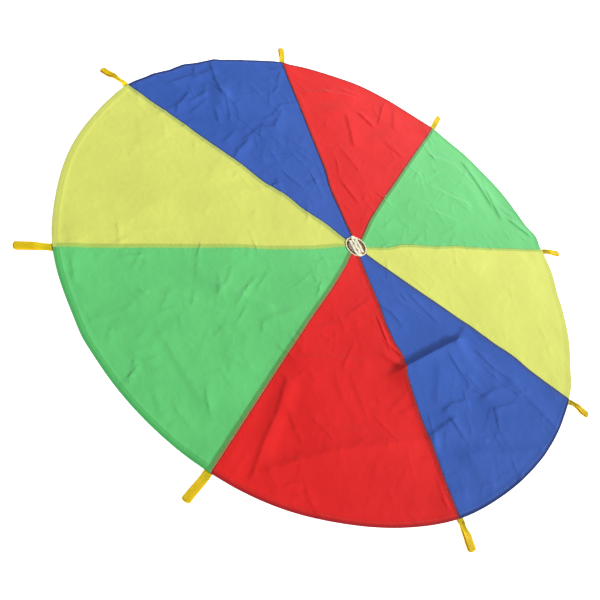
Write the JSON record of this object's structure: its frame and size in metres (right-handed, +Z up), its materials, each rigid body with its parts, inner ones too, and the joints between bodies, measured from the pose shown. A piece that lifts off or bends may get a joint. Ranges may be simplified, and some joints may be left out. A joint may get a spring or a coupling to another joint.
{
  "type": "play parachute",
  "caption": "Round cloth play parachute spread out flat, with coloured wedge panels, a netted vent in the middle and webbing hand loops that swing up round its rim.",
  "frame": {"origin": "on the floor that the parachute lies on, at the centre of the rim", "axes": "+Z up out of the cloth, -X towards hand loop 1 between the yellow gore 8 and the blue gore 1, +Y towards hand loop 3"},
  "size_m": [2.2013, 2.1938, 0.0193],
  "materials": {
    "blue_taffeta": "thin woven polyester taffeta, soft sheen",
    "red_taffeta": "thin woven polyester taffeta, soft sheen",
    "green_taffeta": "thin woven polyester taffeta, soft sheen",
    "yellow_taffeta": "thin woven polyester taffeta, soft sheen",
    "golden_webbing": "flat woven polypropylene webbing",
    "cream_net": "coarse knotless cord net",
    "cream_tape": "woven cotton binding tape",
    "tan_tape": "woven cotton reinforcing tape"
  },
  "bodies": {
    "canopy": {"gore_1_blue": "blue_taffeta", "gore_2_red": "red_taffeta", "gore_3_green": "green_taffeta", "gore_4_yellow": "yellow_taffeta", "gore_5_blue": "blue_taffeta", "gore_6_red": "red_taffeta", "gore_7_green": "green_taffeta", "gore_8_yellow": "yellow_taffeta", "crown_net": "cream_net", "crown_ring_tape": "cream_tape", "crown_back_tape": "tan_tape", "handle_1_sewn_ends": "golden_webbing", "handle_2_sewn_ends": "golden_webbing", "handle_3_sewn_ends": "golden_webbing", "handle_4_sewn_ends": "golden_webbing", "handle_5_sewn_ends": "golden_webbing", "handle_6_sewn_ends": "golden_webbing", "handle_7_sewn_ends": "golden_webbing", "handle_8_sewn_ends": "golden_webbing"},
    "handle_1": {"handle_1_loop": "golden_webbing"},
    "handle_2": {"handle_2_loop": "golden_webbing"},
    "handle_3": {"handle_3_loop": "golden_webbing"},
    "handle_4": {"handle_4_loop": "golden_webbing"},
    "handle_5": {"handle_5_loop": "golden_webbing"},
    "handle_6": {"handle_6_loop": "golden_webbing"},
    "handle_7": {"handle_7_loop": "golden_webbing"},
    "handle_8": {"handle_8_loop": "golden_webbing"}
  },
  "joints": [
    {"name": "handle_1_swing", "type": "hinge", "parent": "canopy", "child": "handle_1", "pos_m": [-1.01192, -0.0147, 0.0029], "axis": [-0.0078, 1, 0], "range_deg": [0, 160]},
    {"name": "handle_2_swing", "type": "hinge", "parent": "canopy", "child": "handle_2", "pos_m": [-0.7132, 0.69955, 0.0029], "axis": [0.6967, 0.7174, 0], "range_deg": [0, 160]},
    {"name": "handle_3_swing", "type": "hinge", "parent": "canopy", "child": "handle_3", "pos_m": [0.01558, 0.99888, 0.0029], "axis": [0.9999, -0.0131, 0], "range_deg": [0, 160]},
    {"name": "handle_4_swing", "type": "hinge", "parent": "canopy", "child": "handle_4", "pos_m": [0.74113, 0.69361, 0.0029], "axis": [0.6919, -0.722, 0], "range_deg": [0, 160]},
    {"name": "handle_5_swing", "type": "hinge", "parent": "canopy", "child": "handle_5", "pos_m": [1.00302, -0.00677, 0.0029], "axis": [0.003, -1, 0], "range_deg": [0, 160]},
    {"name": "handle_6_swing", "type": "hinge", "parent": "canopy", "child": "handle_6", "pos_m": [0.71339, -0.68787, 0.0029], "axis": [-0.6947, -0.7193, 0], "range_deg": [0, 160]},
    {"name": "handle_7_swing", "type": "hinge", "parent": "canopy", "child": "handle_7", "pos_m": [0.01376, -1.00292, 0.0029], "axis": [-0.9998, -0.0192, 0], "range_deg": [0, 160]},
    {"name": "handle_8_swing", "type": "hinge", "parent": "canopy", "child": "handle_8", "pos_m": [-0.7083, -0.73397, 0.0029], "axis": [-0.7196, 0.6944, 0], "range_deg": [0, 160]}
  ]
}
